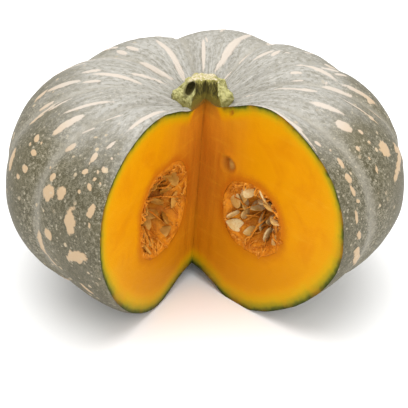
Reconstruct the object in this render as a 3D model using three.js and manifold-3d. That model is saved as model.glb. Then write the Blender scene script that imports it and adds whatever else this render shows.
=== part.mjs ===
// A ribbed grey-green kabocha squash with one wedge cut out of its front, standing on its blossom end.
// Its pieces are the fruit (rind and flesh, grown as one), the corky stem, and the stringy seed mass inside.
// Units are millimetres and +Z is up. An azimuth of 0 degrees points to the front, -Y, and grows towards +X.

import * as THREE from "three";
import { mergeVertices } from "three/addons/utils/BufferGeometryUtils.js";
import Module from "manifold-3d";

const wasm = await Module();
wasm.setup();

// The fruit's size: the widest crest, the height of that waist, and how far crown and underside reach from it
const RADIUS = 135;
const WAIST_Z = 85;
const CROWN_RISE = 77;
const UNDERSIDE_DROP = 99.5;
const CROWN_POWER = 2.5;
const UNDERSIDE_POWER = 1.82;

// The dimples under the stem and at the blossom end, and the flesh that rises into the stem
const TOP_DIMPLE = { depth: 26.5, width: 44 };
const BASE_DIMPLE = { depth: 25, width: 36 };
const CORE_PEAK = { depth: 4, width: 8 };

// The core line leans to the left on its way down from the stem
const CORE_TOP_Z = 139.5;
const CORE_LEAN = 10;

// Each lobe starts at a groove's azimuth. Its crown rises and its waist reaches out by these factors
const LOBES = [
  { start: -167.5, rise: 1.013, reach: 1.012 },
  { start: -128.5, rise: 1.03, reach: 0.997 },
  { start: -83, rise: 1.025, reach: 1.036 },
  { start: -55, rise: 0.98, reach: 0.985 },
  { start: -24, rise: 0.99, reach: 1.035 },
  { start: 18, rise: 1.015, reach: 1.018 },
  { start: 53, rise: 1.01, reach: 1.024 },
  { start: 89, rise: 1.03, reach: 0.998 },
  { start: 116, rise: 1.017, reach: 0.965 },
  { start: 149, rise: 1.046, reach: 1.018 },
];
const GROOVE_AT_WAIST = 0.028;
const GROOVE_AT_CROWN = 0.088;
const GROOVE_FADE = 0.35;
const GROOVE_SHARPNESS = 0.7;

// The wedge that is missing lies between these two azimuths
const CUT_LEFT = -29.3;
const CUT_RIGHT = 39.6;

// The seed cavity's section beside the core at its two mouths, and the gap between its wall and the seed mass
const LEFT_MOUTH = { r: 48, z: 76, halfWidth: 33, halfHeight: 33.5 };
const RIGHT_MOUTH = { r: 55, z: 70, halfWidth: 29, halfHeight: 26 };
const CAVITY_POWER = 2.4;
const WALL_GAP = 0.6;

// Corners that a join or a cut leaves closer together than this become one
const WELD = 0.01;

// Grid steps
const STEPS_PER_LOBE = 6;
const LATITUDE_STEPS = 30;
const CORE_STEPS = 6;
const CAVITY_TURN_STEPS = 14;

const rad = THREE.MathUtils.degToRad;
const lerp = THREE.MathUtils.lerp;
const smooth = (t) => THREE.MathUtils.smoothstep(t, 0, 1);
const bell = (r, { depth, width }) => depth * Math.exp(-((r / width) ** 2));

// A repeatable random number from 0 to 1
function seededRandom(seed) {
  let state = seed;
  return () => {
    state = (state * 16807) % 2147483647;
    return state / 2147483647;
  };
}

// How deep in a groove an azimuth lies, from 0 on a crest to 1, and the factors of its lobe
function lobeAt(azimuth) {
  const first = LOBES[0].start;
  const turned = first + ((((azimuth - first) % 360) + 360) % 360);
  const count = LOBES.length;
  let i = count - 1;
  while (LOBES[i].start > turned) i -= 1;
  const end = i === count - 1 ? first + 360 : LOBES[i + 1].start;
  const u = (turned - LOBES[i].start) / (end - LOBES[i].start);
  const neighbour = LOBES[(u < 0.5 ? i + count - 1 : i + 1) % count];
  const share = 0.5 * smooth(Math.abs(2 * u - 1));
  return {
    groove: 1 - Math.sin(Math.PI * u) ** GROOVE_SHARPNESS,
    rise: lerp(LOBES[i].rise, neighbour.rise, share),
    reach: lerp(LOBES[i].reach, neighbour.reach, share),
  };
}

// A point of the fruit from its azimuth, its distance from the core line and its height
function place(azimuth, r, z) {
  const shift = -CORE_LEAN * (1 - z / CORE_TOP_Z) * (1 - (r / RADIUS) ** 2);
  return new THREE.Vector3(r * Math.sin(rad(azimuth)) + shift, -r * Math.cos(rad(azimuth)), z);
}

// The skin's distance from the core line and its height, from the latitude, which is 90 at the stem
function skinSection(azimuth, latitude) {
  const { groove, rise, reach } = lobeAt(azimuth);
  const onCrown = latitude > 0;
  const power = 2 / (onCrown ? CROWN_POWER : UNDERSIDE_POWER);
  const share = Math.max(0, Math.cos(rad(latitude))) ** power;
  const fade = smooth(share / GROOVE_FADE);
  const r = RADIUS * share * (1 - GROOVE_AT_WAIST * groove) * lerp(1, reach, share);
  const lift = Math.abs(Math.sin(rad(latitude))) ** power * (1 - GROOVE_AT_CROWN * groove * fade);
  if (!onCrown) return { r, z: Math.max(0, WAIST_Z - UNDERSIDE_DROP * lift + bell(r, BASE_DIMPLE)) };
  return { r, z: WAIST_Z + CROWN_RISE * lerp(1, rise, fade) * lift - bell(r, TOP_DIMPLE) + bell(r, CORE_PEAK) };
}

// The cavity's section changes evenly from the right mouth, round the back, to the left one
function cavityAt(azimuth) {
  const share = (azimuth - CUT_RIGHT) / (CUT_LEFT + 360 - CUT_RIGHT);
  const at = (key) => lerp(RIGHT_MOUTH[key], LEFT_MOUTH[key], share);
  return { r: at("r"), z: at("z"), halfWidth: at("halfWidth"), halfHeight: at("halfHeight") };
}

// The cavity's edge in a direction round its section, drawn in by an inset
function cavityEdge(azimuth, angle, inset = 0) {
  const cavity = cavityAt(azimuth);
  const across = Math.abs(Math.cos(angle)) / (cavity.halfWidth - inset);
  const along = Math.abs(Math.sin(angle)) / (cavity.halfHeight - inset);
  const reach = (across ** CAVITY_POWER + along ** CAVITY_POWER) ** (-1 / CAVITY_POWER);
  return { r: cavity.r + reach * Math.cos(angle), z: cavity.z + reach * Math.sin(angle) };
}

// Triangles gathered from quads, with corners given anticlockwise as seen from outside
class Surface {
  corners = [];

  triangle(a, b, c) {
    this.corners.push(...a, ...b, ...c);
  }

  quad(a, b, c, d) {
    this.triangle(a, b, c);
    this.triangle(a, c, d);
  }

  // A grid of points, closed across its columns when wrap is true
  grid(rows, wrap = false) {
    for (let i = 0; i + 1 < rows.length; i += 1) {
      const last = wrap ? rows[i].length : rows[i].length - 1;
      for (let j = 0; j < last; j += 1) {
        const k = (j + 1) % rows[i].length;
        this.quad(rows[i][j], rows[i + 1][j], rows[i + 1][k], rows[i][k]);
      }
    }
  }

  geometry() {
    const made = new THREE.BufferGeometry();
    made.setAttribute("position", new THREE.Float32BufferAttribute(this.corners, 3));
    return made;
  }
}

// A closed mesh as a solid that can be joined and cut, and back again
function toSolid(geometry, weld = 1e-4) {
  const bare = geometry.index ? geometry.toNonIndexed() : geometry.clone();
  bare.deleteAttribute("normal");
  bare.deleteAttribute("uv");
  const merged = mergeVertices(bare, weld);
  const corners = merged.index.array;
  const kept = [];
  for (let i = 0; i < corners.length; i += 3) {
    const [a, b, c] = corners.slice(i, i + 3);
    if (a !== b && b !== c && c !== a) kept.push(a, b, c);
  }
  const vertProperties = new Float32Array(merged.attributes.position.array);
  return new wasm.Manifold(new wasm.Mesh({ numProp: 3, vertProperties, triVerts: new Uint32Array(kept) }));
}

function toGeometry(solid) {
  const mesh = solid.getMesh();
  const made = new THREE.BufferGeometry();
  made.setAttribute("position", new THREE.BufferAttribute(mesh.vertProperties, mesh.numProp));
  made.setIndex(new THREE.BufferAttribute(mesh.triVerts, 1));
  return made;
}

function welded(solid) {
  return toSolid(toGeometry(solid), WELD);
}

// Azimuths round the back, from the right cut to the left one, with a line in every groove
function skinAzimuths() {
  const end = CUT_LEFT + 360;
  const found = [CUT_RIGHT, end];
  for (let turn = 0; turn < 2; turn += 1) {
    LOBES.forEach(({ start }, i) => {
      const next = i + 1 < LOBES.length ? LOBES[i + 1].start : LOBES[0].start + 360;
      for (let step = 0; step < STEPS_PER_LOBE; step += 1) {
        const azimuth = lerp(start, next, step / STEPS_PER_LOBE) + 360 * turn;
        if (azimuth > CUT_RIGHT + 1.5 && azimuth < end - 1.5) found.push(azimuth);
      }
    });
  }
  return found.sort((a, b) => a - b);
}

// The closed line round one cut face: down the skin from the stem, then up the core
function cutOutline(azimuth) {
  const skin = [];
  for (let j = 0; j <= LATITUDE_STEPS; j += 1) {
    skin.push(skinSection(azimuth, 90 - (180 * j) / LATITUDE_STEPS));
  }
  const top = skin[0];
  const bottom = skin[LATITUDE_STEPS];
  const core = [];
  for (let j = 1; j < CORE_STEPS; j += 1) core.push({ r: 0, z: lerp(bottom.z, top.z, j / CORE_STEPS) });
  return [...skin, ...core];
}

// Azimuths of the rings that the cavity and the seed mass share
function cavityTurn() {
  const rings = [];
  for (let i = 0; i <= CAVITY_TURN_STEPS; i += 1) {
    rings.push(lerp(CUT_RIGHT, CUT_LEFT + 360, i / CAVITY_TURN_STEPS));
  }
  return rings;
}

// The angles round the cavity's middle at which the outline of the left cut has its points
function cavityAngles() {
  return cutOutline(CUT_LEFT).map(({ r, z }) => Math.atan2(z - LEFT_MOUTH.z, r - LEFT_MOUTH.r));
}

function cavityLoop(azimuth, inset = 0) {
  return cavityAngles().map((angle) => {
    const edge = cavityEdge(azimuth, angle, inset);
    return place(azimuth, edge.r, edge.z);
  });
}

// Rind and flesh: the skin, two cut faces with the cavity's mouth in them, and the cavity's wall
function makeFruit() {
  const surface = new Surface();
  const rows = skinAzimuths().map((azimuth) =>
    cutOutline(azimuth)
      .slice(0, LATITUDE_STEPS + 1)
      .map(({ r, z }) => place(azimuth, r, z)),
  );
  surface.grid(rows.map((row) => row.slice().reverse()));
  const faces = [
    [CUT_RIGHT, false],
    [CUT_LEFT + 360, true],
  ];
  for (const [azimuth, isLeft] of faces) {
    const outer = cutOutline(azimuth).map(({ r, z }) => place(azimuth, r, z));
    const inner = cavityLoop(azimuth);
    surface.grid(isLeft ? [inner, outer] : [outer, inner], true);
  }
  surface.grid(cavityTurn().map((azimuth) => cavityLoop(azimuth)), true);
  return toSolid(surface.geometry());
}

const fruit = makeFruit();

// The wedge of space in front of the two cut faces
function wedgeSolid() {
  const far = 3 * RADIUS;
  const outline = new THREE.Shape([
    new THREE.Vector2(0, 0),
    new THREE.Vector2(far * Math.sin(rad(CUT_LEFT)), -far * Math.cos(rad(CUT_LEFT))),
    new THREE.Vector2(far * Math.sin(rad(CUT_RIGHT)), -far * Math.cos(rad(CUT_RIGHT))),
  ]);
  return toSolid(new THREE.ExtrudeGeometry(outline, { depth: far, bevelEnabled: false }));
}

// The stem: a stub on a corky foot with five swollen toes, split by the same knife cuts as the fruit
const STEM = { x: -1, y: 1, top: 153.6, foot: 136 };
const STEM_TOES = 5;
const FIRST_TOE = 66;
const STEM_TURN_STEPS = 40;
const STEM_GAP = 0.4;
// Each level: height below the stub's end, the stub's radius, and how far the toes stand out of it
const STEM_LEVELS = [
  { down: 0.0, stub: 7.0, toe: 1.6 },
  { down: 0.3, stub: 8.6, toe: 2.2 },
  { down: 2.2, stub: 8.6, toe: 3.9 },
  { down: 4.2, stub: 8.8, toe: 5.6 },
  { down: 6.1, stub: 10.5, toe: 7.5 },
  { down: 8.1, stub: 14.0, toe: 7.0 },
  { down: 11.6, stub: 16.5, toe: 5.6 },
  { down: 15.6, stub: 17.0, toe: 4.6 },
];
// The stub's front has split off along a leaning face, down to a ledge
const FRONT_SPLIT = { left: -5.8, right: 8.2, topY: -1.5, ledgeY: -5, ledgeZ: 142.8, reach: 30 };
// A deep crack lies between the stub and its left toe
const CRACK = { x: -9, y: -4.5, z: 149.2, halfWidth: 2.2, halfDepth: 5.5, halfHeight: 3.5 };
const CRACK_SIDES = 12;
const CRACK_RINGS = 8;

function stemRing({ down, stub, toe }) {
  const ring = [];
  for (let j = 0; j < STEM_TURN_STEPS; j += 1) {
    const azimuth = (360 * j) / STEM_TURN_STEPS;
    const wave = 0.5 + 0.5 * Math.cos(rad((azimuth - FIRST_TOE) * STEM_TOES));
    const r = stub + toe * wave ** 1.3;
    const x = STEM.x + r * Math.sin(rad(azimuth));
    const y = STEM.y - r * Math.cos(rad(azimuth));
    ring.push(new THREE.Vector3(x, y, STEM.top - down));
  }
  return ring;
}

// The space in front of the split: its outline is drawn in depth and height, and runs from left to right
function frontSplitSolid() {
  const { left, right, topY, ledgeY, ledgeZ, reach } = FRONT_SPLIT;
  const above = STEM.top + 1;
  const outline = new THREE.Shape([
    new THREE.Vector2(topY, above),
    new THREE.Vector2(-reach, above),
    new THREE.Vector2(-reach, ledgeZ),
    new THREE.Vector2(ledgeY, ledgeZ),
  ]);
  const space = new THREE.ExtrudeGeometry(outline, { depth: right - left, bevelEnabled: false });
  const [x, y, z] = [new THREE.Vector3(1, 0, 0), new THREE.Vector3(0, 1, 0), new THREE.Vector3(0, 0, 1)];
  space.applyMatrix4(new THREE.Matrix4().makeBasis(y, z, x).setPosition(left, 0, 0));
  return toSolid(space);
}

function crackSolid() {
  const crack = new THREE.SphereGeometry(1, CRACK_SIDES, CRACK_RINGS);
  crack.scale(CRACK.halfWidth, CRACK.halfDepth, CRACK.halfHeight);
  crack.translate(CRACK.x, CRACK.y, CRACK.z);
  return toSolid(crack);
}

function makeStem() {
  const surface = new Surface();
  const rings = STEM_LEVELS.map(stemRing);
  const foot = stemRing(STEM_LEVELS[STEM_LEVELS.length - 1]).map((p) => p.setZ(STEM.foot));
  const closed = (z) => new Array(STEM_TURN_STEPS).fill(new THREE.Vector3(STEM.x, STEM.y, z));
  surface.grid([closed(STEM.top - 0.6), ...rings, foot, closed(STEM.foot)], true);
  const room = [wedgeSolid(), fruit, fruit.translate([0, 0, STEM_GAP]), frontSplitSolid(), crackSolid()];
  return welded(toSolid(surface.geometry()).subtract(wasm.Manifold.union(room)));
}

// The seed mass fills the cavity, and hollows into a pocket behind each cut face
const POCKET = { rim: 1.2, depth: 21, rings: 4, ripple: 1.6, ripples: 9 };
const SEED = { length: 15.5, width: 9, thickness: 3.4 };
const WALL_SEEDS = 12;
const INNER_SEEDS = 8;
const LOOSE_SEEDS = 3;
const STRANDS = 9;

// Directions at a cut face: outwards along it, up, and away from the missing wedge, into the fruit
function cutFrame(isLeft) {
  const azimuth = isLeft ? CUT_LEFT + 360 : CUT_RIGHT;
  const out = new THREE.Vector3(Math.sin(rad(azimuth)), -Math.cos(rad(azimuth)), 0);
  const up = new THREE.Vector3(0, 0, 1);
  const inward = new THREE.Vector3().crossVectors(up, out).multiplyScalar(isLeft ? -1 : 1);
  return { azimuth, out, up, inward };
}

function pocketDepth(share, angle) {
  const bowl = POCKET.rim + POCKET.depth * smooth(1.25 * share);
  return bowl + POCKET.ripple * Math.sin(POCKET.ripples * angle) * Math.sin(Math.PI * share);
}

// A point on the pocket's wall: the angle round the cavity's section, and the share of the way to its middle
function pocketPoint(frame, angle, share) {
  const edge = cavityEdge(frame.azimuth, angle, WALL_GAP);
  const middle = cavityAt(frame.azimuth);
  const r = lerp(edge.r, middle.r, share);
  const z = lerp(edge.z, middle.z, share);
  return place(frame.azimuth, r, z).addScaledVector(frame.inward, pocketDepth(share, angle));
}

function pocketRows(isLeft) {
  const frame = cutFrame(isLeft);
  const rows = [];
  for (let ring = 0; ring < POCKET.rings; ring += 1) {
    rows.push(cavityAngles().map((angle) => pocketPoint(frame, angle, ring / POCKET.rings)));
  }
  rows.push(cavityAngles().map(() => pocketPoint(frame, 0, 1)));
  return rows;
}

// One seed, flat, with its pointed end along +X
function seedSolid(position, along, across) {
  const blank = new THREE.SphereGeometry(0.5, 8, 4);
  blank.rotateZ(-Math.PI / 2);
  const points = blank.attributes.position;
  for (let i = 0; i < points.count; i += 1) {
    const x = points.getX(i);
    const pinch = 1 - 0.45 * smooth(2 * x);
    points.setXYZ(i, SEED.length * x, SEED.width * points.getY(i) * pinch, SEED.thickness * points.getZ(i));
  }
  const flat = new THREE.Vector3().crossVectors(along, across).normalize();
  const side = new THREE.Vector3().crossVectors(flat, along).normalize();
  const turn = new THREE.Matrix4().makeBasis(along.clone().normalize(), side, flat);
  blank.applyMatrix4(turn.setPosition(position));
  return toSolid(blank);
}

// Seeds in a row along the wall stand out of it edge on, the next row leans to the middle, and a few lie loose
function pocketSeeds(isLeft) {
  const frame = cutFrame(isLeft);
  const random = seededRandom(isLeft ? 7 : 19);
  const jitter = (size) => (random() - 0.5) * size;
  const onFace = (across, upwards) => frame.out.clone().multiplyScalar(across).addScaledVector(frame.up, upwards);
  const seeds = [];
  const rows = [
    { count: WALL_SEEDS, share: 0.24, raise: 1, from: -150, to: 150 },
    { count: INNER_SEEDS, share: 0.52, raise: 2, from: -120, to: 140 },
    { count: LOOSE_SEEDS, share: 0.85, raise: 2.5, from: -60, to: 160 },
  ];
  rows.forEach(({ count, share, raise, from, to }, row) => {
    for (let k = 0; k < count; k += 1) {
      const angle = rad(lerp(from, to, (k + 0.5) / count) + jitter(10));
      const toMiddle = onFace(-Math.cos(angle), -Math.sin(angle));
      const round = onFace(-Math.sin(angle), Math.cos(angle));
      const outward = frame.inward.clone().negate();
      const position = pocketPoint(frame, angle, share + jitter(0.05)).addScaledVector(outward, raise);
      const along = row === 0 ? outward.clone() : toMiddle.clone().addScaledVector(outward, 0.5);
      along.addScaledVector(round, jitter(0.9)).addScaledVector(toMiddle, 0.35 + jitter(0.4));
      const across = row === 0 ? toMiddle.clone() : round.clone();
      across.addScaledVector(outward, jitter(1.2));
      seeds.push(seedSolid(position, along, across));
    }
  });
  return seeds;
}

// A thin strand between two points of the pocket's wall, bowed towards the missing wedge
const STRAND = { radius: 1.1, sides: 5, steps: 5, sunk: 3, bow: 4 };

function strandSolid(from, to, bow) {
  const middle = from.clone().add(to).multiplyScalar(0.5).add(bow);
  const curve = new THREE.QuadraticBezierCurve3(from, middle, to);
  const section = new THREE.Shape();
  section.absellipse(0, 0, STRAND.radius, STRAND.radius, 0, 2 * Math.PI);
  return toSolid(
    new THREE.ExtrudeGeometry(section, {
      steps: STRAND.steps,
      curveSegments: STRAND.sides,
      extrudePath: curve,
      bevelEnabled: false,
    }),
  );
}

function pocketStrands(isLeft) {
  const frame = cutFrame(isLeft);
  const random = seededRandom(isLeft ? 31 : 57);
  const strands = [];
  for (let k = 0; k < STRANDS; k += 1) {
    const angle = 2 * Math.PI * ((k + random()) / STRANDS);
    const swing = 0.5 + 0.9 * random();
    const from = pocketPoint(frame, angle, 0.16).addScaledVector(frame.inward, STRAND.sunk);
    const to = pocketPoint(frame, angle + swing, 0.75).addScaledVector(frame.inward, STRAND.sunk);
    const bow = frame.inward.clone().multiplyScalar(-2 * STRAND.bow * (0.6 + random()));
    strands.push(strandSolid(from, to, bow));
  }
  return strands;
}

function makeSeedMass() {
  const surface = new Surface();
  const wall = cavityTurn()
    .slice(1, -1)
    .map((azimuth) => cavityLoop(azimuth, WALL_GAP));
  surface.grid([...pocketRows(true).reverse(), ...wall.reverse(), ...pocketRows(false)], true);
  const mass = toSolid(surface.geometry());
  const grown = [false, true].flatMap((isLeft) => [...pocketSeeds(isLeft), ...pocketStrands(isLeft)]);
  return welded(wasm.Manifold.union([mass, ...grown]));
}

// Materials
const finishes = {
  rind: new THREE.MeshStandardMaterial({ color: "#8c8672", roughness: 0.55, metalness: 0 }),
  cork: new THREE.MeshStandardMaterial({ color: "#a9a35c", roughness: 0.85, metalness: 0 }),
  pulp: new THREE.MeshStandardMaterial({ color: "#d98a2b", roughness: 0.45, metalness: 0 }),
};

function named(name, solid, material) {
  const mesh = new THREE.Mesh(toGeometry(solid), material);
  mesh.name = name;
  return mesh;
}

const squash = new THREE.Group();
squash.add(named("rind_and_flesh", fruit, finishes.rind));
squash.add(named("stem", makeStem(), finishes.cork));
squash.add(named("seed_mass", makeSeedMass(), finishes.pulp));

// The origin is under the middle of the whole squash
const box = new THREE.Box3().setFromObject(squash);
const middle = box.getCenter(new THREE.Vector3());
squash.position.set(-middle.x, -middle.y, -box.min.z);

const part = new THREE.Group();
part.add(squash);

export default part;
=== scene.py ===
# %% [markdown]
# # A kabocha squash with a wedge cut out
# The real thing is one big ribbed fruit. Its mottled grey-green rind and its orange flesh grew as one, and
# a corky stub of stem sits on top. Inside, stringy pulp full of seeds fills a cavity round the core. We load
# the measured model first, so that every piece below is drawn in the same place and at the same size.

# %% Load the frame
import math

import bpy
import numpy as np
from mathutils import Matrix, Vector, noise


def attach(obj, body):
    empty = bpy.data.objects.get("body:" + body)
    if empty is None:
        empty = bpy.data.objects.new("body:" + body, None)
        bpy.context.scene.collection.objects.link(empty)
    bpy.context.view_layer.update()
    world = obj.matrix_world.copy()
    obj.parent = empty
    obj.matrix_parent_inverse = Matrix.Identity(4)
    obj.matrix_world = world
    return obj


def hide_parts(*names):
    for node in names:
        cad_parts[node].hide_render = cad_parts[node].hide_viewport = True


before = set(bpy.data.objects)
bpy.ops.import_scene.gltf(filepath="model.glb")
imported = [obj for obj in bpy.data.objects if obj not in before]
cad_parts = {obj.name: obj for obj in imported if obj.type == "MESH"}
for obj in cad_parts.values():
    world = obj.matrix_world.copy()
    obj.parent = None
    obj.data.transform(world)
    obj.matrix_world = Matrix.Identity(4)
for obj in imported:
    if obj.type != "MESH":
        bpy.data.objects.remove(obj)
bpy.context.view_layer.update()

# %% [markdown]
# ## Sizes
# The squash is described about its own core line: an azimuth round it, a distance from it and a height. All
# of these sizes are in millimetres, and they are the ones that the solid model was made from.

# %% Sizes of the fruit
CORE_AT = (0.29, -10.0)
RADIUS = 135
WAIST_Z = 85
CROWN_RISE = 77
UNDERSIDE_DROP = 99.5
CROWN_POWER = 2.5
UNDERSIDE_POWER = 1.82
TOP_DIMPLE = (26.5, 44)
BASE_DIMPLE = (25, 36)
CORE_PEAK = (4, 8)
CORE_TOP_Z = 139.5
CORE_LEAN = 10
CUT_LEFT = -29.3 + 360
CUT_RIGHT = 39.6

# Each lobe: the azimuth of its first groove, how far its crown rises, how far its waist reaches
LOBES = (
    (-167.5, 1.013, 1.012),
    (-128.5, 1.03, 0.997),
    (-83, 1.025, 1.036),
    (-55, 0.98, 0.985),
    (-24, 0.99, 1.035),
    (18, 1.015, 1.018),
    (53, 1.01, 1.024),
    (89, 1.03, 0.998),
    (116, 1.017, 0.965),
    (149, 1.046, 1.018),
)
GROOVE_AT_WAIST = 0.028
GROOVE_AT_CROWN = 0.088

# %% Small helpers for shapes


def smooth(value):
    value = np.clip(value, 0, 1)
    return value * value * (3 - 2 * value)


def bell(r, size):
    return size[0] * np.exp(-((r / size[1]) ** 2))


def rough(points, size, seed=0.0):
    """Smooth random heights from -1 to 1, with bumps about `size` across."""
    flat = np.asarray(points).reshape(-1, 3) / size + seed
    return np.array([noise.noise(Vector(p)) for p in flat]).reshape(np.shape(points)[:-1])


def place(azimuth, r, z):
    """Points of the squash from azimuths in degrees, distances from the core line and heights."""
    turn = np.radians(azimuth)
    shift = -CORE_LEAN * (1 - z / CORE_TOP_Z) * (1 - (r / RADIUS) ** 2)
    return np.stack([r * np.sin(turn) + shift, -r * np.cos(turn), z + 0 * r * turn], -1)


print("one point of the waist", place(0.0, RADIUS, WAIST_Z))

# %% [markdown]
# ## The ribs
# A squash grows in lobes, and the grooves between them run from the stem to the blossom end. A groove is
# only a formula here: how deep an azimuth lies between two groove lines. That makes it easy to widen one
# lobe or to lift another, as a real fruit does.

# %% Lobes and the section of the skin


def lobe_at(azimuth):
    """How deep in a groove an azimuth lies, and how far its lobe rises and reaches."""
    starts = np.array([lobe[0] for lobe in LOBES] + [LOBES[0][0] + 360])
    turned = starts[0] + (azimuth - starts[0]) % 360
    i = np.clip(np.searchsorted(starts, turned, side="right") - 1, 0, len(LOBES) - 1)
    u = (turned - starts[i]) / (starts[i + 1] - starts[i])
    neighbour = np.where(u < 0.5, i - 1, i + 1) % len(LOBES)
    share = 0.5 * smooth(np.abs(2 * u - 1))
    rise, reach = (np.array([lobe[k] for lobe in LOBES]) for k in (1, 2))
    groove = 1 - (np.sin(np.pi * u) ** 2 + 0.003) ** 0.35
    blend = [values[i] * (1 - share) + values[neighbour] * share for values in (rise, reach)]
    return groove, blend[0], blend[1]


def skin_section(azimuth, latitude):
    """Distance from the core line and height of the skin. The latitude is 90 at the stem."""
    groove, rise, reach = lobe_at(azimuth)
    crown = latitude > 0
    power = 2 / np.where(crown, CROWN_POWER, UNDERSIDE_POWER)
    share = np.clip(np.cos(np.radians(latitude)), 0, 1) ** power
    fade = smooth(share / 0.35)
    r = RADIUS * share * (1 - GROOVE_AT_WAIST * groove) * (1 + (reach - 1) * share)
    lift = np.abs(np.sin(np.radians(latitude))) ** power * (1 - GROOVE_AT_CROWN * groove * fade)
    above = WAIST_Z + CROWN_RISE * (1 + (rise - 1) * fade) * lift - bell(r, TOP_DIMPLE) + bell(r, CORE_PEAK)
    below = np.maximum(0, WAIST_Z - UNDERSIDE_DROP * lift + bell(r, BASE_DIMPLE))
    return r, np.where(crown, above, below)


print("groove, rise, reach at the back", [round(float(v), 3) for v in lobe_at(np.array(180.0))])

# %% [markdown]
# ## Marks on the rind
# Cream streaks run down the crown, and rounder tan patches lie on the sides. They could be painted in an
# image, but we keep them as a short list of places and sizes, measured along the rind, and let a seeded rule
# fill the sides that can't be seen. Each vertex then stores how far inside a mark it lies, and the material
# turns that into a crisp, ragged edge.

# %% Places of the marks
# Azimuth, distance down the rind from the stem, half length, half width, turn
STREAKS_SEEN = (
    (-151, 46, 23.2, 2.2, -5), (-151.5, 66, 12.5, 1.6, -3), (-131, 46, 15, 1.5, 7),
    (-94, 62, 17.7, 1.6, -8), (-104, 42, 13.2, 1.8, 21), (-64.5, 89, 19.1, 1.1, -12),
    (-61.5, 105, 12.7, 2.2, -6), (-34.5, 68, 20.6, 1.5, -4), (-93.5, 101, 13.3, 2.3, -9),
    (-90, 79, 5.9, 1.4, -6), (-121.5, 76, 13.3, 1.2, -3), (-132.5, 82, 6.8, 1.8, -12),
    (-137, 78, 7.1, 1.7, -3), (-49.5, 80, 7.4, 1.1, -30), (-52.5, 113, 4.3, 3.2, -19),
    (-53, 96, 4.3, 1.7, -49), (-37, 102, 4, 1.4, -18), (-66, 128, 2.4, 2.6, -13),
    (-178, 51, 17.9, 1.3, -1), (179.5, 66, 4.7, 0.6, 7), (161, 56, 20.6, 2.8, -3), (165, 36, 6.4, 1, -9),
    (148, 55, 9.7, 1, -4), (135, 60, 9.5, 1.9, -5), (131, 67, 5.5, 1.4, 12), (150.5, 32, 5.2, 0.6, -5),
    (78, 30, 11.2, 0.8, -24), (101.5, 79, 16.5, 2.3, -37), (100.5, 98, 6.3, 1.3, 19),
    (97, 64, 4.2, 1.3, -7), (91.5, 64, 4.5, 0.6, 3), (128, 75, 2.6, 1.2, -59), (127.5, 96, 4.9, 1.2, 5),
    (73.5, 57, 8.3, 2.3, -6), (74, 71, 9.2, 2.3, 9), (88.5, 69, 3.7, 0.6, 0), (65, 90, 12, 2.3, 9),
    (40.6, 82, 34, 1.0, 0), (41, 87, 9.7, 1.3, 13), (61, 107, 6.2, 3.6, 8), (64.5, 118, 2.5, 1.5, 11),
    (86.5, 122, 7.2, 1, 8),
)
PATCHES_SEEN = (
    (43.5, 108, 2.7, 1.5, 10), (68.5, 138, 5.3, 5.8, -25), (73, 154, 17.5, 3.2, -74),
    (58, 123, 2.1, 1.5, 14), (64, 127, 1.7, 1.6, 38), (59.5, 133, 1.2, 1.2, -27),
    (59.5, 142, 3.7, 1.2, -17), (47, 125, 4.3, 2.1, -7), (46.5, 115, 1, 1.7, 30),
    (46.5, 136, 3.1, 2.8, -10), (46, 145, 3.3, 2.3, 0), (47, 152, 1.3, 1.8, 0), (45, 162, 4.5, 1.8, 0),
    (46, 176, 2.9, 3, 12), (46, 186, 2, 2.3, 17), (49, 197, 13.9, 3.9, 41), (40, 179, 1.7, 0.8, 0),
    (77.5, 120, 1.8, 2.6, -16), (92, 118, 1.7, 1.9, 16), (90, 101, 1.3, 1.4, 19),
    (92, 84, 0.9, 1.2, -24), (-40, 114, 3.6, 1.9, 8), (-40, 125, 1.8, 2.1, 34),
    (-35.5, 122, 1, 1.3, -31), (-34, 119, 1.8, 2.2, -32), (-40, 129, 0.7, 1.1, 0),
    (-35.5, 127, 1.3, 1.6, 24), (-33, 128, 0.8, 0.8, -38), (-36, 133, 2.5, 1.8, 39),
    (-39, 138, 1.4, 1.2, 23), (-50.5, 147, 5.1, 5.7, 19), (-45, 143, 4.1, 4.5, 16),
    (-51, 136, 2.2, 2.2, 29), (-54.5, 130, 1.5, 1.1, 46), (-33, 146, 4.9, 2.3, -20),
    (-33, 156, 1.7, 1.2, 0), (-40, 159, 8.6, 4.2, 0), (-38, 183, 10.8, 4.3, -59), (-49, 175, 4, 3.6, 17),
    (-54.5, 187, 10.8, 3.5, -6), (-51.5, 200, 7, 1.9, 39), (-60, 245, 15.6, 2.5, -57),
    (-39.5, 218, 5.4, 2.6, 28), (-33.5, 168, 0.8, 1.1, -50), (-71.5, 152, 7.1, 3, 24),
    (-63, 147, 1.9, 2.8, 37), (-64.5, 156, 1.9, 2.1, 18), (-63, 135, 2, 2.7, 32),
    (-66.5, 134, 1.5, 1.3, 46), (-65.5, 128, 1.2, 1.6, -25), (-63, 127, 0.8, 1.6, -39),
    (-33.5, 110, 1, 1.1, -27), (-40, 119, 0.7, 0.6, -43),
)



def unseen_marks(seed):
    """Streaks and patches for the back and the sides, by a seeded rule."""
    draw = np.random.default_rng(seed)
    found = []
    for azimuth in np.arange(78, 286, 9.0):
        down = draw.uniform(80, 112)
        found.append((azimuth + draw.normal(0, 3), down, draw.uniform(5, 15), draw.uniform(1, 2), 0))
        for _ in range(2):
            size = draw.uniform(1.5, 4.5)
            down = draw.uniform(112, 205)
            found.append((azimuth + draw.normal(0, 4), down, size * draw.uniform(1.1, 2), size, draw.normal(0, 20)))
    return tuple(found)


marks = np.array(STREAKS_SEEN + PATCHES_SEEN + unseen_marks(4))
print(len(marks), "marks")

# %% How far inside a mark


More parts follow.
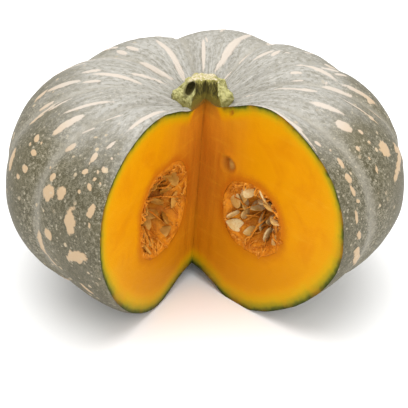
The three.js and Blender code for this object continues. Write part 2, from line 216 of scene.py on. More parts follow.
def mark_field(azimuth, down, r):
    """1 in the middle of a mark, 0 at its edge, below 0 outside."""
    best = np.full(down.shape, -3.0)
    for at, far, half_length, half_width, turn in marks:
        across = np.radians((azimuth - at + 180) % 360 - 180) * r
        along = down - far
        c, s = math.cos(math.radians(turn)), math.sin(math.radians(turn))
        a = (along * c + across * s) / half_length
        b = (across * c - along * s) / half_width
        best = np.maximum(best, 1 - np.sqrt(a * a + b * b))
    return best


# %% [markdown]
# ## The rind as a grid
# The rind is a grid of azimuths and latitudes, pushed in and out in its own section, so that both cut faces
# stay flat. Low swellings, fine pleats round the stem and slightly raised marks keep it from looking
# turned on a lathe.

# %% Points of the rind
TURNS = 400
LATITUDES = 150
KEPT_INSIDE = 0.65
azimuths = np.linspace(CUT_RIGHT, CUT_LEFT, TURNS + 1)[:, None]
latitudes = np.linspace(90, -90, LATITUDES + 1)[None, :]
skin_r, skin_z = skin_section(azimuths, latitudes)
groove_depth = lobe_at(azimuths)[0] + 0 * skin_r
steps = np.hypot(np.diff(skin_r, axis=1), np.diff(skin_z, axis=1))
down = np.concatenate([np.zeros((TURNS + 1, 1)), np.cumsum(steps, axis=1)], axis=1)
marked = mark_field(azimuths, down, np.maximum(skin_r, 1))

flat_points = place(azimuths, skin_r, skin_z)
pleat_map = np.stack([azimuths * 0.42 + 0 * down, down * 0.012, 0 * down], -1)
fine_pleat_map = np.stack([azimuths * 0.95 + 0 * down, down * 0.03, 0 * down], -1)
near_stem = smooth((down - 12) / 20) * (1 - smooth((down - 55) / 60))
relief = 0.9 * rough(flat_points, 38.0) + 0.3 * rough(flat_points, 11.0, 5.0)
relief += near_stem * (0.75 * rough(pleat_map, 1.0) + 0.35 * rough(fine_pleat_map, 1.0, 9.0))
relief += 0.25 * smooth(marked * 3 + 0.5) - KEPT_INSIDE
relief *= smooth((skin_r - 4) / 20) * smooth(skin_z / 4)

slope_r, slope_z = np.gradient(skin_r, axis=1), np.gradient(skin_z, axis=1)
slope = np.hypot(slope_r, slope_z) + 1e-9
skin_r = np.maximum(skin_r - relief * slope_z / slope, 0)
skin_z = np.maximum(skin_z + relief * slope_r / slope, 0)
skin_points = place(azimuths, skin_r, skin_z)
print("rind points", skin_points.shape, "relief", relief.min().round(2), relief.max().round(2))

# %% [markdown]
# ## The cavity and the cut faces
# Each cut face is a sheet between the outline of the fruit and the mouth of the cavity. It is drawn as rings
# that step in from the outline, close together under the rind, where the colour changes fast. The cavity's
# wall joins one mouth to the other round the back.

# %% Sizes of the cavity
RIGHT_MOUTH = np.array((55, 70, 29, 26))
LEFT_MOUTH = np.array((48, 76, 33, 33.5))
CAVITY_POWER = 2.4
MOUTH_RAGGED = 0.8
CORE_STEPS = 26
WALL_STEPS = 56
FACE_RINGS = 34
UNDER_RIND = (0.0, 0.6, 1.3, 2.2, 3.4, 5.0, 7.0)


def mouth_at(azimuth):
    share = (azimuth - CUT_RIGHT) / (CUT_LEFT - CUT_RIGHT)
    return RIGHT_MOUTH * (1 - share) + LEFT_MOUTH * share


def cavity_edge(azimuth, angle, inset=0.0):
    """The edge of the cavity's section in a direction round its middle."""
    r, z, half_width, half_height = mouth_at(azimuth)
    across = np.abs(np.cos(angle)) / (half_width - inset)
    along = np.abs(np.sin(angle)) / (half_height - inset)
    reach = (across**CAVITY_POWER + along**CAVITY_POWER) ** (-1 / CAVITY_POWER)
    ragged = sum(np.sin(n * angle + n * n + azimuth) / n**0.5 for n in (4, 7, 11, 17, 26))
    reach -= MOUTH_RAGGED * (1 + 0.7 * ragged)
    return r + reach * np.cos(angle), z + reach * np.sin(angle)


def outline(column):
    """The closed outline of one cut face: down the skin, then up the core line."""
    core_z = np.linspace(skin_z[column, -1], skin_z[column, 0], CORE_STEPS + 1)[1:-1]
    r = np.concatenate([skin_r[column], np.zeros(len(core_z))])
    return r, np.concatenate([skin_z[column], core_z])


def angles_of(column, azimuth):
    r, z = outline(column)
    middle = mouth_at(azimuth)
    return np.unwrap(np.arctan2(z - middle[1], r - middle[0]))


right_angles = angles_of(0, CUT_RIGHT)
left_angles = angles_of(TURNS, CUT_LEFT)
print("points round a cut face", len(right_angles))

# %% A cut face


def distance_to_line(points, line):
    """The shortest distance of each point to a line of points."""
    start, leg = line[:-1], np.diff(line, axis=0)
    gap = points[:, None] - start
    t = np.clip((gap * leg).sum(-1) / ((leg**2).sum(-1) + 1e-9), 0, 1)
    return np.hypot(*np.moveaxis(gap - t[..., None] * leg, -1, 0)).min(1)


# Distance from the core, height, radius and depth
SEED_HOLE = (29.0, 100.5, 6.5, 2.3)
SMALL_PIT = (28.0, 138.5, 1.6, 1.4)
SEED_END = (31.0, 101.5, 3.0, 2.0)


def cut_face(column, azimuth, angles):
    """Points of a cut face in rings, with their section place, depth under the rind and distance to the mouth."""
    outer = np.stack(outline(column), -1)
    inner = np.stack(cavity_edge(azimuth, angles), -1)
    length = np.linalg.norm(inner - outer, axis=1)
    rows = [outer + (inner - outer) * np.minimum(d / length, 0.45)[:, None] for d in UNDER_RIND]
    first = np.minimum(UNDER_RIND[-1] / length, 0.45)
    for ring in range(1, FACE_RINGS + 1):
        share = first + (1 - first) * ring / FACE_RINGS
        rows.append(outer + (inner - outer) * share[:, None])
    section = np.array(rows)
    flat = section.reshape(-1, 2)
    skin_line = np.stack([skin_r[column], skin_z[column]], -1)
    depth = distance_to_line(flat, skin_line).reshape(section.shape[:2])
    mouth = distance_to_line(flat, np.vstack([inner, inner[:1]])).reshape(section.shape[:2])
    r, z = section[..., 0], section[..., 1]
    depth += 12 * (1 - smooth((r - 8) / 12)) * smooth((z - 120) / 10)
    points = place(azimuth, r, z)
    turn = math.radians(azimuth)
    inward = np.array((math.cos(turn), math.sin(turn), 0)) * (1 if column == 0 else -1)
    fibre = np.stack([r * 0.17, z * 0.03, 0 * r], -1)
    sink = 0.35 * rough(points, 22.0) + 0.12 * rough(points, 3.0, 4.0)
    sink += 0.35 * rough(fibre, 1.0, 3.0 + column) * (1 - smooth((r - 8) / 30))
    if column == 0:
        away = np.hypot((r - SEED_HOLE[0]) * 0.8, z - SEED_HOLE[1]) / SEED_HOLE[2]
        sink += SEED_HOLE[3] * (1 - smooth((away - 0.45) / 0.55)) - 0.5 * np.exp(-(((away - 1.05) / 0.2) ** 2))
        sink += bell(np.hypot(r - SMALL_PIT[0], (z - SMALL_PIT[1]) * 0.7), (SMALL_PIT[3], SMALL_PIT[2]))
        sink -= bell(np.hypot(r - SEED_END[0], (z - SEED_END[1]) * 0.8), (SEED_END[3], SEED_END[2]))
    sink *= smooth(distance_to_line(flat, outer).reshape(depth.shape) / 2.5) * smooth(mouth / 2)
    return points + sink[..., None] * inward, section, depth, mouth


right_face = cut_face(0, CUT_RIGHT, right_angles)
left_face = cut_face(TURNS, CUT_LEFT, left_angles)
print("cut faces", right_face[0].shape, "deepest flesh", right_face[2].max().round(1), "mm")

# %% The wall of the cavity


def cavity_ring(share, inset=0.0):
    azimuth = CUT_RIGHT + (CUT_LEFT - CUT_RIGHT) * share
    angles = right_angles * (1 - share) + left_angles * share
    r, z = cavity_edge(azimuth, angles, inset)
    return place(azimuth, r, z), r, z


wall_shares = smooth(np.linspace(0, 1, WALL_STEPS + 1))
wall_points = np.array([cavity_ring(share)[0] for share in wall_shares])
wall_section = np.array([np.stack(cavity_ring(share)[1:], -1) for share in wall_shares])
print("wall points", wall_points.shape)

# %% [markdown]
# ## From grids to one closed mesh
# A piece of several grids is one mesh once the points along their shared edges are merged. Its rind and its
# flesh get a material each, and the numbers that the materials need are stored on the points.

# %% Mesh helpers
METRE = 0.001


class Grids:
    """Collects grids of points, with numbers on their points, and makes one object of them."""

    def __init__(self):
        self.points, self.faces, self.slots, self.flat = [], [], [], []
        self.values = {}
        self.count = 0

    def add(self, points, slot=0, flip=False, wrap=False, chart=None, **values):
        rows, columns = points.shape[:2]
        index = np.arange(rows * columns).reshape(rows, columns) + self.count
        if wrap:
            index = np.concatenate([index, index[:, :1]], axis=1)
        corners = (index[:-1, :-1], index[1:, :-1], index[1:, 1:], index[:-1, 1:])
        quads = np.stack(corners[::-1] if flip else corners, -1).reshape(-1, 4)
        self.points.append(points.reshape(-1, 3))
        self.faces.append(quads)
        self.slots.append(np.full(len(quads), slot))
        self.flat.append((np.zeros((rows, columns, 2)) if chart is None else chart).reshape(-1, 2))
        for name, value in values.items():
            whole = self.values.setdefault(name, {})
            whole[self.count] = (value + np.zeros((rows, columns))).ravel()
        self.count += rows * columns

    def object(self, name, materials, sharp=50):
        points = np.concatenate(self.points) * METRE
        points += np.array((CORE_AT[0], CORE_AT[1], 0)) * METRE
        faces = np.concatenate(self.faces)
        mesh = bpy.data.meshes.new(name)
        mesh.from_pydata(points.tolist(), [], faces.tolist())
        chart = mesh.uv_layers.new(name="survey")
        chart.data.foreach_set("uv", np.concatenate(self.flat)[faces.ravel()].astype(np.float32).ravel())
        for key, parts in self.values.items():
            whole = np.zeros(self.count, np.float32)
            for start, value in parts.items():
                whole[start : start + len(value)] = value
            mesh.attributes.new(key, "FLOAT", "POINT").data.foreach_set("value", whole)
        for material in materials:
            mesh.materials.append(material)
        mesh.polygons.foreach_set("material_index", np.concatenate(self.slots).astype(np.int32))
        return finished(name, mesh, sharp)


def finished(name, mesh, sharp=50):
    """An object of a mesh whose doubles are merged and whose faces are smooth up to an angle."""
    import bmesh

    work = bmesh.new()
    work.from_mesh(mesh)
    bmesh.ops.remove_doubles(work, verts=work.verts, dist=2e-6)
    bmesh.ops.dissolve_degenerate(work, edges=work.edges, dist=1e-7)
    bmesh.ops.triangulate(work, faces=[f for f in work.faces if len(f.verts) > 4])
    open_edges = sum(1 for e in work.edges if len(e.link_faces) != 2)
    if not open_edges:
        bmesh.ops.recalc_face_normals(work, faces=work.faces)
    volume = work.calc_volume(signed=True) * 1e6
    work.to_mesh(mesh)
    work.free()
    mesh.shade_smooth()
    mesh.set_sharp_from_angle(angle=math.radians(sharp))
    made = bpy.data.objects.new(name, mesh)
    bpy.context.scene.collection.objects.link(made)
    triangles = sum(len(f.vertices) - 2 for f in mesh.polygons)
    print(name, triangles, "triangles,", open_edges, "open edges,", round(volume, 1), "cm3")
    return made


# %% [markdown]
# ## Shader maths in plain Python
# A material here is a long sum of masks and mixes. Written node by node it would be hard to read, so one
# small class wraps a socket and lets us write `1 - mask * 2`. Everything else goes through one method.

# %% Sockets that can be added and multiplied


class Wire:
    """A socket of a material. Arithmetic on it adds Math nodes."""

    def __init__(self, paint, socket):
        self.paint, self.socket = paint, socket

    def math(self, operation, first, second=None):
        values = {0: first} if second is None else {0: first, 1: second}
        return self.paint.node("ShaderNodeMath", {"operation": operation}, values)

    def __add__(self, other):
        return self.math("ADD", self, other)

    def __sub__(self, other):
        return self.math("SUBTRACT", self, other)

    def __rsub__(self, other):
        return self.math("SUBTRACT", other, self)

    def __mul__(self, other):
        return self.math("MULTIPLY", self, other)

    def __pow__(self, other):
        return self.math("POWER", self, other)

    __radd__ = __add__
    __rmul__ = __mul__


class Paint:
    """A material and its node tree."""

    def __init__(self, name, roughness=0.5, **constants):
        self.material = bpy.data.materials.new(name)
        self.material.use_nodes = True
        self.tree = self.material.node_tree
        self.tree.nodes.clear()
        self.surface = self.tree.nodes.new("ShaderNodeBsdfPrincipled")
        end = self.tree.nodes.new("ShaderNodeOutputMaterial")
        self.tree.links.new(self.surface.outputs[0], end.inputs[0])
        self.surface.inputs["Roughness"].default_value = roughness
        for key, value in constants.items():
            self.surface.inputs[key.replace("_", " ")].default_value = value

    def plug(self, socket, value):
        if isinstance(value, Wire):
            self.tree.links.new(value.socket, socket)
        else:
            socket.default_value = value

    def node(self, kind, settings=None, inputs=None, out=0):
        """Any node, from its type, its settings, the values or links of its sockets, and the output that is used."""
        made = self.tree.nodes.new(kind)
        for key, value in (settings or {}).items():
            if key == "stops":
                ramp = made.color_ramp.elements
                while len(ramp) < len(value):
                    ramp.new(0.5)
                for stop, (at, colour) in zip(ramp, value):
                    stop.position, stop.color = at, colour
            else:
                setattr(made, key, value)
        for key, value in (inputs or {}).items():
            self.plug(made.inputs[key], value)
        return Wire(self, made.outputs[out])

    def mix(self, factor, first, second):
        colours = {0: factor, 6: first, 7: second}
        return self.node("ShaderNodeMix", {"data_type": "RGBA"}, colours, out=2)

    def step(self, value, low, high):
        """0 below low, 1 above high, smooth between."""
        return self.node("ShaderNodeMapRange", {"interpolation_type": "SMOOTHSTEP"}, {0: value, 1: low, 2: high})

    def cloud(self, where, scale, detail=2.0, roughness=0.5, distortion=0.0):
        sizes = {"Vector": where, "Scale": scale, "Detail": detail, "Roughness": roughness, "Distortion": distortion}
        return self.node("ShaderNodeTexNoise", None, sizes, out="Fac")

    def stretched(self, where, factors):
        return self.node("ShaderNodeVectorMath", {"operation": "MULTIPLY"}, {0: where, 1: factors})

    def number(self, name):
        return self.node("ShaderNodeAttribute", {"attribute_name": name}, out="Fac")

    def here(self):
        return self.node("ShaderNodeTexCoord", out="Object")

    def chart(self):
        return self.node("ShaderNodeUVMap", {"uv_map": "survey"})

    def finish(self, colour, roughness=None, height=None, bump=0.0005):
        """Links the colour, and where they are given the roughness and a height for the bump."""
        self.plug(self.surface.inputs["Base Color"], colour)
        if roughness is not None:
            self.plug(self.surface.inputs["Roughness"], roughness)
        if height is not None:
            bumped = self.node("ShaderNodeBump", None, {"Height": height, "Distance": bump, "Strength": 1.0})
            self.plug(self.surface.inputs["Normal"], bumped)
        return self.material


# The studio light is brighter than white on the screen, so that shadows on the floor stay pale
LIGHT_LEVEL = 1.4


def tone(red, green, blue):
    """A colour as it is read off a screen, from 0 to 255, in the renderer's own numbers."""
    shares = (red / 255, green / 255, blue / 255)
    linear = [v / 12.92 if v <= 0.04045 else ((v + 0.055) / 1.055) ** 2.4 for v in shares]
    return (*(v / LIGHT_LEVEL for v in linear), 1.0)


print("a rind grey in the renderer's numbers", [round(v, 3) for v in tone(139, 132, 111)])

# %% [markdown]
# ## The rind's finish
# Close up, the rind is olive with a grey mottle. A pale waxy bloom gathers round the stem and in the
# grooves, thin lines run down the crown, and specks crowd together on the sides. Each of these is one mask.

# %% Mottled rind


def dots(paint, here, scale, size, share):
    """Ragged round dots: one in each cell of a scattered grid, in a share of the cells."""
    cells = {"Vector": here, "Scale": scale}
    away = paint.node("ShaderNodeTexVoronoi", None, cells, out="Distance")
    pick = paint.node("ShaderNodeTexVoronoi", None, cells, out="Color")
    some = paint.step(paint.node("ShaderNodeSeparateColor", None, {0: pick}), 1 - share, 1.03 - share)
    ragged = paint.cloud(here, scale * 2.2, 2.0) - 0.5
    return (1 - paint.step(away + ragged * 0.35, size, size * 1.6)) * some


def mottled_rind():
    paint = Paint("mottled_rind", Specular_IOR_Level=0.3)
    here = paint.here()
    chart = paint.chart()
    from_stem = paint.number("down")
    groove = paint.number("groove")

    fleck = paint.cloud(here, 400, 4.0, 0.72)
    grain = paint.cloud(here, 1250, 2.0, 0.6)
    drift = paint.cloud(here, 42, 3.0, 0.55)
    colour = paint.mix(paint.step(fleck + (grain - 0.5) * 0.6, 0.40, 0.62), tone(82, 76, 50), tone(139, 132, 109))
    colour = paint.mix(paint.step(drift, 0.42, 0.66) * 0.5, colour, tone(112, 104, 76))
    colour = paint.mix(paint.step(grain + (fleck - 0.5) * 0.7, 0.60, 0.72) * 0.5, colour, tone(190, 180, 156))

    crown = 1 - paint.step(from_stem + (drift - 0.5) * 50, 72, 134)
    top = 1 - paint.step(from_stem, 26, 92)
    lines = paint.cloud(paint.stretched(chart, (90, 5.0, 0)), 1.0, 3.0, 0.6)
    flecks = paint.cloud(paint.stretched(chart, (62, 20.0, 0)), 1.0, 3.0, 0.65)
    broad_lines = paint.cloud(paint.stretched(chart, (30, 2.2, 0)), 1.0, 3.0, 0.6)
    bloom = crown * (0.58 + paint.step(broad_lines + (flecks - 0.5) * 0.9, 0.34, 0.70) * 0.34)
    colour = paint.mix(bloom, colour, tone(190, 187, 179))
    colour = paint.mix(top * paint.step(lines, 0.55, 0.70) * 0.65, colour, tone(220, 216, 208))
    colour = paint.mix(crown * paint.step(flecks + (grain - 0.5) * 0.5, 0.58, 0.70) * 0.5, colour, tone(216, 209, 195))
    dark_flecks = 1 - paint.step(flecks + (fleck - 0.5) * 0.7, 0.34, 0.46)
    colour = paint.mix(crown * dark_flecks * 0.44, colour, tone(130, 124, 104))

    # Lobe middles are darker in their own colour; the extra darkening further down the sides is painted shade.
    middle = (1 - paint.step(groove + (drift - 0.5) * 0.3, 0.06, 0.34)) * (1 - crown)
    colour = paint.mix(middle * (0.30 + paint.step(from_stem, 140, 190) * 0.2), colour, tone(88, 82, 58))
    band = paint.step(groove + (fleck - 0.5) * 0.3, 0.50, 0.90) * (1 - paint.step(from_stem, 205, 240))
    colour = paint.mix(band * 0.5, colour, tone(178, 172, 157))

    ragged = paint.cloud(here, 330, 3.0, 0.6)
    lump = (paint.cloud(here, 150, 2.0) - 0.5) * paint.step(from_stem, 95, 125)
    mark = paint.step(paint.number("mark") + (ragged - 0.5) * 0.8 + lump * 1.3, -0.16, 0.12)
    cream = paint.mix(paint.step(from_stem, 92, 132), tone(218, 205, 190), tone(214, 183, 144))
    colour = paint.mix(mark * 0.92, colour, cream)

    crowd = paint.step(paint.cloud(here, 34, 1.0), 0.44, 0.58) * paint.step(from_stem, 62, 112)
    dot = dots(paint, here, 150.0, 0.16, 0.42) * crowd
    speck = dots(paint, here, 310.0, 0.20, 0.32) * paint.step(from_stem, 70, 120)
    colour = paint.mix(speck * 0.5, colour, tone(206, 194, 168))
    colour = paint.mix(dot * 0.85, colour, tone(216, 194, 160))

    seat = 1 - paint.step(from_stem + (fleck - 0.5) * 4, 11, 19)
    colour = paint.mix(seat * 0.85, colour, tone(128, 112, 52))

    roughness = 0.55 + crown * 0.1 - mark * 0.05 + (fleck - 0.5) * 0.15
    height = fleck * 0.5 + grain * 0.25 + lines * top * 0.5 + flecks * crown * 0.3 + mark * 0.35
    return paint.finish(colour, roughness, height, 0.0006)


rind_finish = mottled_rind()
print("rind nodes", len(rind_finish.node_tree.nodes))

# %% [markdown]
# ## The flesh's finish
# Under the rind lies a thin dark green line, then yellow-green, then yellow, and soon the deep orange of the
# flesh. It turns stringy and darker towards the core and round the cavity. Near the core that darkening is partly
# painted shade, and the dark pits, the dark depth of the cavity and the darker bottom of the cut faces are painted
# shade.

# %% Orange flesh


def orange_flesh():
    paint = Paint("orange_flesh", Specular_IOR_Level=0.06)
    here = paint.here()
    chart = paint.chart()
    height = paint.node("ShaderNodeSeparateXYZ", None, {0: here}, out="Z")
    grain = paint.cloud(here, 900, 2.0, 0.6)
    patch = paint.cloud(here, 55, 3.0, 0.5)
    under_rind = paint.number("depth") + (paint.cloud(here, 210, 2.0) - 0.5) * 2.4
    depth = under_rind * (0.66 + paint.step(height, 0.045, 0.12) * 0.39)
    stops = (
        (0.0, tone(50, 60, 20)),
        (0.05, tone(92, 98, 28)),
        (0.12, tone(166, 152, 28)),
        (0.25, tone(222, 174, 14)),
        (0.44, tone(240, 168, 5)),
        (1.0, tone(242, 162, 3)),
    )
    colour = paint.node("ShaderNodeValToRGB", {"stops": stops}, {0: depth * 0.05}, out="Color")
    colour = paint.mix(paint.step(patch, 0.45, 0.7) * 0.3, colour, tone(236, 152, 5))
    mottle = paint.cloud(here, 34, 4.0, 0.62, 0.7)
    colour = paint.mix(paint.step(mottle, 0.44, 0.68) * paint.step(depth, 5, 16) * 0.45, colour, tone(226, 136, 6))

    inside = paint.step(depth, 6, 12)
    # Towards the core the flesh is stringy and darker: partly the fibres' own colour, partly painted shade in the
    # inner corner of the cut.
    near_core = (1 - paint.step(paint.number("core") + (patch - 0.5) * 24, 8, 62)) * inside
    strings = paint.cloud(paint.stretched(chart, (150, 18, 0)), 1.0, 2.0, 0.5)
    core = paint.mix(paint.step(strings, 0.30, 0.72), tone(218, 132, 34), tone(232, 148, 38))
    colour = paint.mix(near_core * 0.92, colour, core)
    # Painted shade: a dark line along the core line, in the inner corner where the two cut faces meet.
    crease = (1 - paint.step(paint.number("core") + (patch - 0.5) * 6, 0.2, 2.6)) * inside
    colour = paint.mix(crease * 0.35, colour, tone(150, 86, 24))
    # Painted shade: a brown band either side of the core, at middle heights.
    painted_shade = (1 - paint.step(paint.number("core") + (patch - 0.5) * 16, 14, 46)) * inside
    painted_shade *= paint.step(height, 0.040, 0.080) * (1 - paint.step(height, 0.096, 0.130))
    colour = paint.mix(painted_shade * 0.5, colour, tone(206, 120, 28))
    under_stem = 1 - paint.step(paint.number("core") + (grain - 0.5) * 4, 6, 18)
    olive = under_stem * paint.step(height + (patch - 0.5) * 0.012, 0.124, 0.140)
    colour = paint.mix(olive * 0.7, colour, tone(156, 106, 32))
    colour = paint.mix(under_stem * paint.step(height + (patch - 0.5) * 0.006, 0.133, 0.141) * 0.8, colour, tone(116, 94, 36))
    near_mouth = (1 - paint.step(paint.number("mouth") + (grain - 0.5) * 5 + (patch - 0.5) * 6, 0.2, 8)) * inside
    colour = paint.mix(near_mouth * 0.8, colour, tone(206, 112, 20))
    # Painted shade: the cavity's wall darkens deeper inside, away from both mouths.
    colour = paint.mix(paint.number("wall") * 0.85, colour, tone(160, 84, 18))
    # Painted shade: the seed hole and the small pit are darkened inside.
    colour = paint.mix(paint.number("hole") * 0.85, colour, tone(168, 98, 28))
    colour = paint.mix(paint.number("seed_end") * 0.9, colour, tone(210, 164, 84))
    colour = paint.mix(paint.step(grain, 0.60, 0.74) * inside * 0.14, colour, tone(250, 190, 50))
    # Painted shade: the flesh darkens towards the bottom of the cut faces.
    low = (1 - paint.step(height + (patch - 0.5) * 0.02, 0.030, 0.080)) * inside
    colour = paint.mix(low * 0.6, colour, tone(218, 140, 4))
    knife = paint.cloud(paint.stretched(chart, (24, 190, 0)), 1.0, 3.0, 0.6)
    colour = paint.mix(paint.step(knife, 0.54, 0.74) * paint.step(depth, 3, 14) * 0.22, colour, tone(249, 184, 44))
    relief = grain * 0.5 + strings * near_core * 0.9 + patch * 0.3
    return paint.finish(colour, 0.5 + (grain - 0.5) * 0.2, relief, 0.0004)


flesh_finish = orange_flesh()
print("flesh nodes", len(flesh_finish.node_tree.nodes))

# %% [markdown]
# ## Fruit: rind and flesh
# The four grids meet along shared edges: the rind, two cut faces and the cavity's wall. It stands for the
# solid that carries the weight, so it keeps its form and only adds what is fine.

# %% Build the fruit
fruit_grids = Grids()
rind_chart = np.stack([(azimuths + 0 * down) / 100, down / 100], -1)
fruit_grids.add(skin_points, 0, chart=rind_chart, mark=marked, groove=groove_depth, down=down)
for face, column in ((right_face, 0), (left_face, TURNS)):
    points, section, depth, mouth = face
    hole, pit = (
        np.hypot((section[..., 0] - at[0]) * stretch, section[..., 1] - at[1]) / at[2]
        for at, stretch in ((SEED_HOLE, 0.8), (SMALL_PIT, 1.0))
    )
    # Painted shade inside the seed hole and the small pit.
    painted_shade = np.maximum(1 - smooth((hole - 0.5) / 0.6), 1 - smooth((pit - 0.5) / 0.7))
    from_end = np.hypot(section[..., 0] - SEED_END[0], (section[..., 1] - SEED_END[1]) * 0.8)
    seed_end = 1 - smooth(from_end / SEED_END[2] - 0.5)
    edge_values = {}
    for key, value in (("mark", marked), ("groove", groove_depth), ("down", down)):
        whole = np.zeros(points.shape[:2])
        whole[0, : LATITUDES + 1] = value[column]
        edge_values[key] = whole
    fruit_grids.add(
        points, 1, flip=column == 0, wrap=True, chart=section * METRE, depth=depth, mouth=mouth,
        core=section[..., 0], hole=painted_shade * (column == 0),
        seed_end=seed_end * (column == 0), **edge_values,
    )
# Painted shade on the cavity's wall: 0 at both mouths, rising towards 1 deeper inside.
wall_shade = np.zeros(wall_points.shape[:2]) + (1 - np.exp(-np.minimum(np.arange(WALL_STEPS + 1), WALL_STEPS - np.arange(WALL_STEPS + 1)) / 1.5))[:, None]
fruit_grids.add(
    wall_points, 1, flip=True, wrap=True, chart=wall_section * METRE, depth=30.0, mouth=0.0,
    core=wall_section[..., 0], wall=wall_shade,
)
fruit = fruit_grids.object("squash_flesh_and_rind", [rind_finish, flesh_finish])

# %% [markdown]
# ## The stem
# What is left of the stem is a short pillar on a corky foot with five swollen toes. The knife split it too,
# its front has broken away, and a deep crack runs beside the left toe. Rings at a few heights give the rough
# form, and three cutters take the open places out of it. A voxel remesh then turns all of it into one
# even skin, on which the cork's knobs and the torn fibres can be raised.

# %% Stem levels
STEM_X, STEM_Y, STEM_TOP, STEM_FOOT = -1.0, 1.0, 153.6, 136.0
FIRST_TOE = 66
# Height below the end, radius of the pillar, how far the toes stand out of it
STEM_LEVELS = np.array((
    (0.0, 7.0, 1.6),
    (0.3, 8.6, 2.2),
    (2.2, 8.6, 3.9),
    (4.2, 8.8, 5.6),
    (6.1, 10.5, 7.5),
    (8.1, 14.0, 7.0),
    (11.6, 16.5, 5.6),
    (15.6, 17.0, 4.6),
    (17.6, 17.0, 4.6),
))
STEM_TURNS = 120
# The split front: its left and right ends, its depth at the top, and the depth and height of its ledge
SPLIT_LEFT, SPLIT_RIGHT, SPLIT_TOP_Y, LEDGE_Y, LEDGE_Z = -5.8, 8.2, -1.5, -5.0, 142.8
# The crack: its middle, and how far it reaches to each side, in depth and in height
CRACK = np.array(((-9.6, -4.5, 148.9), (2.5, 5.5, 4.4)))
CRACK_SLANT = 0.45


def stem_ring(below, shrink=1.0):
    pillar, toe = (np.interp(below, STEM_LEVELS[:, 0], STEM_LEVELS[:, k]) for k in (1, 2))
    around = np.linspace(0, 360, STEM_TURNS, endpoint=False)
    wave = 0.5 + 0.5 * np.cos(np.radians((around - FIRST_TOE) * 5))
    r = (pillar + toe * wave**1.3) * shrink
    turn = np.radians(around)
    return np.stack([STEM_X + r * np.sin(turn), STEM_Y - r * np.cos(turn), STEM_TOP - below + 0 * r], -1)


stem_rings = [stem_ring(0.6 * (1 - k) ** 2, k) for k in (0, 0.25, 0.5, 0.75)]
stem_rings += [stem_ring(below) for below in (0, 0.3, 1.2, 2.2, 3.2, 4.2, 5.1, 6.1, 7.1, 8.1, 9.8, 11.6, 13.6, 15.6, 17.6)]
stem_rings += [stem_ring(17.6, k) for k in (0.6, 0.0)]
print("stem rings", len(stem_rings))

# %% The rough stem and its cutters


def prism(outline, low, high, name):
    """A closed block from an outline in (x, y) that runs from one height to another."""
    near = np.array([(x, y, low) for x, y in outline])
    far = np.array([(x, y, high) for x, y in outline])
    middle = near.mean(0)
    grids = Grids()
    caps = [np.tile(middle, (len(near), 1)), near, far, np.tile(far.mean(0), (len(near), 1))]
    grids.add(np.array(caps), wrap=True)
    return grids.object(name, [], sharp=180)


def turned_prism(outline, low, high, name):
    """The same from an outline in (y, z) that runs from one x to another."""
    block = prism(outline, low, high, name)
    for corner in block.data.vertices:
        x, y, z = corner.co
        corner.co = (z + CORE_AT[0] * METRE, x - CORE_AT[0] * METRE + CORE_AT[1] * METRE, y - CORE_AT[1] * METRE)
    return block


FAR = 60
wedge_outline = ((0, 0), *((FAR * math.sin(math.radians(a)), -FAR * math.cos(math.radians(a))) for a in (CUT_LEFT, CUT_RIGHT)))
split_outline = ((SPLIT_TOP_Y, STEM_TOP + 1), (-FAR, STEM_TOP + 1), (-FAR, LEDGE_Z), (LEDGE_Y, LEDGE_Z))
polar, around = np.meshgrid(np.linspace(0, np.pi, 25), np.linspace(0, 2 * np.pi, 32, endpoint=False), indexing="ij")
ball = np.stack([np.sin(polar) * np.cos(around), np.sin(polar) * np.sin(around), np.cos(polar)], -1)
crack_grids = Grids()
crack_ball = CRACK[1] * ball * (1 + 0.18 * rough(ball, 0.5))[..., None]
crack_ball[..., 0] += CRACK_SLANT * crack_ball[..., 2]
crack_grids.add(CRACK[0] + crack_ball, wrap=True)
stem_grids = Grids()
stem_grids.add(np.array(stem_rings), wrap=True)
cutters = [
    prism(wedge_outline, STEM_FOOT - 9, STEM_TOP + 9, "wedge_cutter"),
    turned_prism(split_outline, SPLIT_LEFT, SPLIT_RIGHT, "split_cutter"),
    crack_grids.object("crack_cutter", [], sharp=180),
]
stem = stem_grids.object("squash_stem", [], sharp=180)


# %% Cut, remesh and roughen the stem


def applied(carrier, name):
    """A plain mesh object with the modifiers of another object worked in."""
    graph = bpy.context.evaluated_depsgraph_get()
    mesh = bpy.data.meshes.new_from_object(carrier.evaluated_get(graph))
    bpy.data.objects.remove(carrier)
    mesh.name = name
    made = bpy.data.objects.new(name, mesh)
    bpy.context.scene.collection.objects.link(made)
    return made


STEM_VOXEL = 0.00036
for cutter in cutters:
    cut = stem.modifiers.new("cut", "BOOLEAN")
    cut.operation, cut.solver, cut.object = "DIFFERENCE", "EXACT", cutter
even = stem.modifiers.new("even", "REMESH")
even.mode, even.voxel_size, even.use_smooth_shade = "VOXEL", STEM_VOXEL, True
stem = applied(stem, "squash_stem")
for cutter in cutters:
    bpy.data.objects.remove(cutter)


def mesh_array(mesh, what, key="co"):
    values = np.zeros(len(what) * 3, np.float32)
    what.foreach_get(key, values)
    return values.reshape(-1, 3).astype(float)


